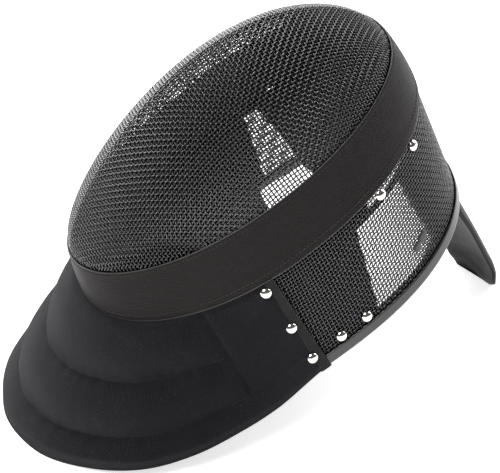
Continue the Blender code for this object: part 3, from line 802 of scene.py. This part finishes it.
# Rows round the lining: the turn of each at the lining's front edge and at its rear edge.
LINING = np.array((
    (106.0, 102.0), (97.0, 95.0), (88.0, 87.5), (75.6, 79.6), (69.3, 71.0), (62.0, 61.0),
    (54.8, 50.6), (44.0, 40.0), (33.0, 30.0), (22.0, 20.0), (11.0, 10.0), (0.0, 0.0),
))

padding = Finish("black_padding", (0.004, 0.004, 0.0045), 0.95, Specular_IOR_Level=0.08)
length, width = padding.along()
loops = length.waves(1.3) * width.waves(1.3)
fluff = padding.noise(700, 3.0)
fuzzy = fluff.ramp(0.35, 0.7)
padding.feed("Base Color", padding.mixed(fuzzy, (0.003, 0.003, 0.0035), (0.006, 0.006, 0.0065)))
padding.relief(loops * 0.4 + fluff * 0.8, 0.0004)

lining_rows = np.concatenate((LINING, LINING[-2::-1] * -1))
last_row = len(lining_rows) - 1
steps = np.linspace(0, last_row, last_row * ROW_STEPS + 1)
front_turns = np.interp(steps, np.arange(last_row + 1), lining_rows[:, 0])
rear_turns = np.interp(steps, np.arange(last_row + 1), lining_rows[:, 1])
lining_across = np.concatenate(
    (
        np.linspace(LINING_START, SLIT_END, 6, endpoint=False),
        np.linspace(SLIT_END, WINDOW_START, 3, endpoint=False),
        np.linspace(WINDOW_START, WINDOW_END, 30, endpoint=False),
        np.linspace(WINDOW_END, LINING_END, 3),
    )
)
share = np.clip((lining_across - WINDOW_START) / 0.7, 0, 1)
turn_grid = front_turns[:, None] + (rear_turns - front_turns)[:, None] * share
across_grid = np.broadcast_to(lining_across, turn_grid.shape)
cells = np.arange(len(steps) - 1) / ROW_STEPS
cell_row = np.minimum(cells, last_row - cells - 1 / ROW_STEPS)[:, None]
cell_across = (lining_across[:-1] + lining_across[1:]) / 2
window_low = np.where(cells < last_row / 2, WINDOW_ROWS[0], RIGHT_WINDOW_LOW)[:, None]
open_window = (cell_row >= window_low) & (cell_row < WINDOW_ROWS[1])
open_window = open_window & (cell_across > WINDOW_START) & (cell_across < WINDOW_END)
open_slit = (cell_row >= SLIT_ROWS[0]) & (cell_row < SLIT_ROWS[1]) & (cell_across < SLIT_END)
row_at = np.minimum(steps, last_row - steps)[:, None]


def from_opening(rows, aside):
    """How far the lining's points are from an opening, in millimetres, by rows and by how far aside."""
    beyond = np.maximum(np.maximum(rows[0] - row_at, row_at - rows[1]), 0)
    return np.hypot(beyond * ROW_LENGTH, np.maximum(aside, 0) * LINING_DEPTH)


from_window = from_opening(WINDOW_ROWS, WINDOW_START - lining_across)
from_slit = from_opening(SLIT_ROWS, lining_across - SLIT_END)
bound_edge = 0.2 + 0.8 * ease(np.minimum(from_window, from_slit), 1, 12)
quilting = 0.35 * np.sin(np.radians(turn_grid) * 30) * np.sin(across_grid * 40)
inner_lining = panel(
    "padded_lining",
    over(side, turn_grid, across_grid, LINING_OUTER + quilting * 0.4)[::-1],
    LINING_THICKNESS,
    cut=(open_window | open_slit)[::-1],
    thick=bound_edge[::-1],
)
settle(inner_lining, padding, "black_lining", "lining")

# The lining's front roll: thick under the trim band's rear edge, and thin where it runs on over the face
# mesh's edge, on the right side and at the chin. On the left it stops short, and its edge is folded back.
ROLL_OUTER = -4.2
ROLL_THICKNESS = 8.5
ROLL_SHARES = (0.25, 0.7, 0.95, 1, 0.9, 0.5, 0.2, 0.15, 0.15, 0.15, 0.15, 0.15, 0.15, 0.12)
ROLL_REAR = 0.985

roll_turns = np.linspace(0, 360, 181)
short = np.where(roll_turns < 180, ease(roll_turns, 5, 25) * (1 - ease(roll_turns, 102, 130)), 0)
front_across = (0.05 + 0.45 * short)[:, None]
forward = np.array((1, 0.97, 0.91, 0.8, 0.6, 0.37, 0.16, 0))
across_grid = front_across + (ROLL_REAR - front_across) * forward
under_band = over(band, roll_turns[:, None], across_grid, ROLL_OUTER)
reach = np.where(roll_turns < 180, ease(roll_turns, 102, 130), ease(360 - roll_turns, 5, 50))
ahead = np.linspace(0.1, 1, 6) * (0.003 + 0.031 * reach)[:, None]
u, v = oval(roll_turns[:, None], MESH_HALF_WIDTH * (1 - ahead), MESH_HALF_HEIGHT * (1 - ahead))
powers = np.where(v < 0, CHIN_POWER, CROWN_POWER)
mesh_reach = MESH_HALF_WIDTH * (1 - (np.abs(v) / MESH_HALF_HEIGHT) ** powers) ** (1 / powers)
aside = np.clip(u / np.maximum(mesh_reach, 0.1), -0.9995, 0.9995)
over_mesh = dome(aside, v) + dome_outward(aside, v) * ROLL_OUTER
folded = over(band, roll_turns[:, None], front_across - np.linspace(0.02, 0.12, 6), ROLL_OUTER)
over_mesh = over_mesh + (folded - over_mesh) * short[:, None, None]
roll_grid = np.concatenate((under_band, over_mesh), 1)[:, ::-1]
roll_shares = np.broadcast_to(ROLL_SHARES[::-1], roll_grid.shape[:2])
front_roll = panel("padded_lining_front", roll_grid, ROLL_THICKNESS, thick=roll_shares)
joined(front_roll)
settle(front_roll, padding, "black_lining", "lining")

# ---------------- cheek flaps
# Padded flaps of the same cloth, sewn to the lining's cheeks along their front edge. They hang free inside
# the bib on both sides of the neck.

# The flap's free edge: a turn, and the place u, v and w of the edge there.
FLAP = np.array((
    (80.0, 91.0, 5.0, -141.0), (90.0, 92.0, -22.0, -142.0), (100.0, 94.0, -46.0, -141.0),
    (110.0, 97.0, -69.0, -137.0), (120.0, 101.0, -92.0, -129.0), (135.0, 101.0, -122.0, -118.0),
))
FLAP_START = 84.0
FLAP_END = 135.0
FLAP_SEAM_BACK = 0.13
FLAP_TOP = -9.0
FLAP_THICKNESS = 7.0

flap_turns = np.linspace(FLAP_START, FLAP_END, 45)
seam_line = over(side, flap_turns, FLAP_SEAM_BACK, FLAP_TOP)
free_edge = np.stack([through(FLAP[:, 0], FLAP[:, k], flap_turns) for k in (1, 2, 3)], 1)
flap_downs = np.linspace(0, 1, 31)[:, None]
flap_grid = seam_line[:, None] * (1 - flap_downs) + free_edge[:, None] * flap_downs
from_end = np.minimum(flap_turns - FLAP_START, FLAP_END - flap_turns)
inset = np.minimum(from_end[:, None] / 5, (1 - flap_downs[:, 0]) / 0.08)
plump = 0.25 + 0.75 * np.sqrt(1 - (1 - np.clip(inset, 0, 1)) ** 2)
for side_name, mirror in (("left", 1), ("right", -1)):
    grid, shares = flap_grid, plump
    if mirror < 0:
        grid, shares = (grid * (-1, 1, 1))[::-1], shares[::-1]
    flap = panel("cheek_padding_" + side_name, grid, FLAP_THICKNESS, thick=shares)
    settle(flap, padding, "black_lining", "cheek_flap_" + side_name)

# ---------------- forehead pad
# A foam pad in cloth that takes the forehead. It sits inside the crown, swelled like a small cushion.

SWELL_FRAMES = 20


def swelled(name, node, voxel, shrink, pressure, cap):
    """A cushion from a CAD solid: remeshed, shrunk a little, then swelled as cloth under pressure. The cap
    is how far a point may move, in metres."""
    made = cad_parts[node].copy()
    made.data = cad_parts[node].data.copy()
    made.name = name
    made.data.name = name
    made.data.materials.clear()
    made.parent = None
    for key in list(made.keys()):
        del made[key]
    bpy.context.scene.collection.objects.link(made)
    joined(made)
    made.data.remesh_voxel_size = voxel
    bpy.ops.object.voxel_remesh()
    mesh = made.data
    count = len(mesh.vertices)
    places, normals = np.empty(count * 3, np.float32), np.empty(count * 3, np.float32)
    mesh.vertices.foreach_get("co", places)
    mesh.vertices.foreach_get("normal", normals)
    start = places - normals * shrink
    mesh.vertices.foreach_set("co", start)
    mesh.update()
    cloth = made.modifiers.new("swell", "CLOTH")
    cloth.settings.use_pressure = True
    cloth.settings.uniform_pressure_force = pressure
    cloth.settings.effector_weights.gravity = 0
    for number in range(1, SWELL_FRAMES + 1):
        bpy.context.scene.frame_set(number)
    bpy.ops.object.modifier_apply(modifier="swell")
    bpy.context.scene.frame_set(1)
    swollen = np.empty(count * 3, np.float32)
    made.data.vertices.foreach_get("co", swollen)
    moved = (swollen - start).reshape(-1, 3)
    far = np.maximum(np.linalg.norm(moved, axis=1, keepdims=True), 1e-9)
    moved = moved * np.minimum(1, cap / far)
    made.data.vertices.foreach_set("co", start + moved.ravel())
    finer = made.modifiers.new("finer", "SUBSURF")
    finer.levels = finer.render_levels = 1
    bpy.ops.object.modifier_apply(modifier="finer")
    made.data.shade_smooth()
    return made


pad_cloth = Finish("pad_cloth", (0.005, 0.005, 0.0055), 0.9, Specular_IOR_Level=0.15)
fuzzy = pad_cloth.noise(600, 3.0)
pad_cloth.feed("Base Color", pad_cloth.mixed(fuzzy, (0.004, 0.004, 0.0045), (0.008, 0.008, 0.0085)))
pad_cloth.relief(pad_cloth.noise(1400, 3.0), 0.0003)
brow = swelled("brow_pad", "forehead_pad", voxel=0.005, shrink=0.001, pressure=4.0, cap=0.0012)
settle(brow, pad_cloth, "black_lining", "forehead_pad")

# ---------------- tongue
# The leaf spring behind the crown, in a padded leather cover with a welt along each edge, cupped to hold
# the back of the head. It is turned a little about its length, and its end bends inward and rests on the
# floor.

# Each row: its place w and v, its half width, how deep it is cupped, and its thickness.
TONGUE = np.array((
    (-92.0, 121.2, 30.0, 5.0, 8.0), (-105.0, 119.3, 33.0, 5.0, 8.5),
    (-118.0, 117.9, 35.5, 7.0, 9.0), (-135.0, 119.9, 36.0, 8.0, 10.0),
    (-153.0, 120.9, 36.4, 7.0, 9.0), (-171.0, 120.6, 36.7, 7.0, 8.0),
    (-189.0, 119.8, 37.1, 7.0, 8.0), (-207.0, 118.9, 37.4, 7.0, 8.0),
    (-223.0, 118.1, 37.5, 7.0, 8.0), (-236.0, 117.6, 37.0, 7.0, 8.0),
    (-246.0, 117.5, 34.0, 7.0, 8.0), (-253.0, 117.6, 28.5, 7.0, 8.0),
    (-257.5, 117.7, 20.5, 7.0, 7.5), (-259.6, 117.8, 10.5, 7.0, 6.0),
))
TONGUE_TURN = math.radians(13)
TONGUE_SET_BACK = 3.5
TONGUE_BEND = 8.1
# How wide the cover's right and left halves are towards the tip, as shares of the table's half width.
RIGHT_PLACES, RIGHT_SHARES = (170.0, 215.0, 246.0, 253.0, 257.5, 259.6), (1.0, 0.98, 0.74, 0.72, 0.84, 1.15)
LEFT_PLACES, LEFT_SHARES = (236.0, 246.0, 253.0, 257.5, 259.6), (1.0, 0.95, 0.85, 0.81, 0.7)

leather = Finish("dark_leather", (0.006, 0.0058, 0.0056), 0.45, Specular_IOR_Level=0.12)
place = leather.node("ShaderNodeTexCoord", {}, {}, "Object")
pores = leather.node("ShaderNodeTexVoronoi", {}, {"Vector": place, "Scale": 1100.0})
rubbed = leather.noise(60, 4.0).ramp(0.35, 0.75)
leather.feed("Base Color", leather.mixed(rubbed, (0.0035, 0.0034, 0.0033), (0.0055, 0.0054, 0.0053)))
leather.feed("Roughness", 0.38 + leather.noise(200, 4.0) * 0.2)
leather.relief(pores * 0.5 + leather.noise(500, 3.0) * 0.5, 0.00008)


def tongue_section(steps, turns):
    """Points of the tongue's cover, at steps along its table and turns round its section."""
    knots = np.arange(len(TONGUE), dtype=float)
    w, v, half_width, cup, thickness = (through(knots, TONGUE[:, k], steps) for k in range(5))
    across, out = np.cos(turns), np.sin(turns)
    # The section is an oval with soft corners, a seam down its middle and folds near the tip.
    across = np.sign(across) * np.abs(across) ** 0.8
    out = np.sign(out) * np.abs(out) ** 0.7
    right = np.interp(-w, RIGHT_PLACES, RIGHT_SHARES)
    left = np.interp(-w, LEFT_PLACES, LEFT_SHARES)
    u = half_width * across * np.where(across < 0, right, left)
    middle = np.exp(-((u / 2.2) ** 2)) * 1.1 * (out > 0)
    folds = 0.3 * np.sin(w * 0.42 + 2 * np.sin(u * 0.11)) * ease(-w, 225, 245)
    rise = thickness / 2 * out - cup * (u / 33) ** 2 - middle + folds
    turned = TONGUE_TURN * ease(-w, 125, 190)
    bend = -TONGUE_SET_BACK * ease(-w, 125, 190) - TONGUE_BEND * ease(-w, 225, 262)
    v = v + rise + u * np.sin(turned) + bend
    # What would reach under the floor is drawn back along the tongue.
    w = np.maximum(w, -(math.sin(MASK_LEAN) * v + MASK_HEIGHT) / math.cos(MASK_LEAN))
    return np.stack((u, v, w), -1)


steps = np.linspace(0, len(TONGUE) - 1, 118)
turns = np.linspace(2 * math.pi, 0, 73)
turn_grid, step_grid = np.meshgrid(turns, steps, indexing="ij")
shell = tongue_section(step_grid, turn_grid)
tip = np.broadcast_to(shell[:, -1:].mean(0), (len(turns), 1, 3)) + (0, 0, -0.4)
root = np.broadcast_to(shell[:, :1].mean(0), (len(turns), 1, 3))
shell = np.concatenate((root, shell, tip), 1)
cover = joined(panel("tongue_cover", shell, 0.0))
on_floor(cover)
settle(cover, leather, "black_leather", "tongue")

welt_steps = np.linspace(0.3, len(TONGUE) - 1, 150)
welt_lines = []
for turn, aside in ((0.0, 1.0), (math.pi, -1.0)):
    line = tongue_section(welt_steps, np.full(len(welt_steps), turn))
    welt_lines.append((line, unit(np.broadcast_to((aside, 0.3, 0.0), line.shape))))
welt_finish = Finish("welt_leather", (0.009, 0.0088, 0.0086), 0.5, Specular_IOR_Level=0.25)
welt_finish.relief(welt_finish.noise(1800, 2.0), 0.0001)
welt = wires("tongue_welt", welt_lines, 1.4, 8)
on_floor(welt)
settle(welt, welt_finish, "black_leather", "tongue")

# ---------------- strap tabs
# The clips that keep the strap's ends: dark moulded plastic, pressed on over the side mesh beside the rim,
# one a side, each with two lobes.

CLIP_THICKNESS = 0.0012
# Each lobe: its middle along the tab, its half length, its half width and how far aside it lies, in metres.
CLIP_LOBES = ((0.0034, 0.0052, 0.0042, 0.0), (-0.0052, 0.0044, 0.0038, 0.0012))

clip_finish = Finish("clip_plastic", (0.025, 0.024, 0.023), 0.4)
clip_finish.relief(clip_finish.noise(1500, 3.0), 0.0001)
for side_name in ("left", "right"):
    node = "strap_tab_" + side_name
    corners = np.array([corner.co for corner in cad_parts[node].data.vertices])
    centre = corners.mean(0)
    axes = np.linalg.svd(corners - centre)[2]
    away = axes[2] * np.sign(axes[2][0] * centre[0])
    long_way = axes[0] * np.sign(axes[0][2])
    short_way = np.cross(away, long_way)
    base = centre + away * ((corners - centre) @ away).min()
    lobes = []
    for middle, half_length, half_width, aside in CLIP_LOBES:
        bpy.ops.object.select_all(action="DESELECT")
        bpy.ops.mesh.primitive_uv_sphere_add(segments=24, ring_count=12, radius=1)
        lobe = bpy.context.object
        places = np.array([corner.co for corner in lobe.data.vertices])
        x = places[:, 0] * half_length + middle
        y = places[:, 1] * half_width + aside
        rim_lift = 0.7 + 0.3 * np.hypot(places[:, 0], places[:, 1])
        z = places[:, 2] * CLIP_THICKNESS * rim_lift + 0.0008
        world_places = base + x[:, None] * long_way + y[:, None] * short_way + z[:, None] * away
        lobe.data.vertices.foreach_set("co", world_places.astype(np.float32).ravel())
        lobe.data.update()
        lobes.append(lobe)
    for lobe in lobes:
        lobe.select_set(True)
    bpy.context.view_layer.objects.active = lobes[0]
    bpy.ops.object.join()
    clip = bpy.context.object
    clip.name = "strap_clip_" + side_name
    clip.data.shade_smooth()
    settle(clip, clip_finish, "black_leather", node)

# ---------------- camera and studio
# A pale floor that glows a little, soft light from above in front, from the right side and from behind, and
# the camera at the photograph's viewing angle.

bpy.ops.object.select_all(action="DESELECT")
bpy.ops.mesh.primitive_plane_add(size=8, location=(0, 0, -0.0002))
floor = bpy.context.object
floor.name = "studio_floor"
floor_finish = Finish("floor", (0.9, 0.9, 0.9), 0.8, Specular_IOR_Level=0.1)
floor_finish.feed("Emission Color", (1, 1, 1, 1))
floor_finish.feed("Emission Strength", 0.7)
floor.data.materials.append(floor_finish.material)

camera_data = bpy.data.cameras.new("camera")
camera_data.sensor_fit = "HORIZONTAL"
camera_data.sensor_width = 36
camera_data.lens = 105.98
camera_data.clip_start = 0.05
camera = bpy.data.objects.new("camera", camera_data)
bpy.context.scene.collection.objects.link(camera)
CAMERA_PLACE = Vector((0.920405, -0.281627, 0.736939))
CAMERA_RIGHT = Vector((0.350279, 0.932074, -0.092428))
CAMERA_UP = Vector((-0.49136, 0.266869, 0.829064))
turned = Matrix((CAMERA_RIGHT, CAMERA_UP, CAMERA_RIGHT.cross(CAMERA_UP))).transposed().to_4x4()
camera.matrix_world = Matrix.Translation(CAMERA_PLACE) @ turned
bpy.context.scene.camera = camera

world = bpy.data.worlds.new("studio")
world.use_nodes = True
world.node_tree.nodes["Background"].inputs["Color"].default_value = (1.0, 1.0, 1.0, 1)
world.node_tree.nodes["Background"].inputs["Strength"].default_value = 0.1
bpy.context.scene.world = world
bpy.context.scene.view_settings.view_transform = "Standard"

for name, place, aim, size, power in (
    ("overhead", (0.45, -0.75, 1.5), (0, 0, 0.1), 0.8, 26),
    ("far_side", (-1.9, -0.1, 1.0), (0, 0, 0.15), 1.8, 85),
    ("behind", (-0.3, 1.8, 1.1), (0, 0, 0.15), 1.4, 34),
):
    lamp_data = bpy.data.lights.new(name, "AREA")
    lamp_data.size = size
    lamp_data.energy = power
    lamp = bpy.data.objects.new(name, lamp_data)
    bpy.context.scene.collection.objects.link(lamp)
    lamp.location = place
    lamp.rotation_euler = (Vector(aim) - Vector(place)).to_track_quat("-Z", "Y").to_euler()

bpy.context.view_layer.update()
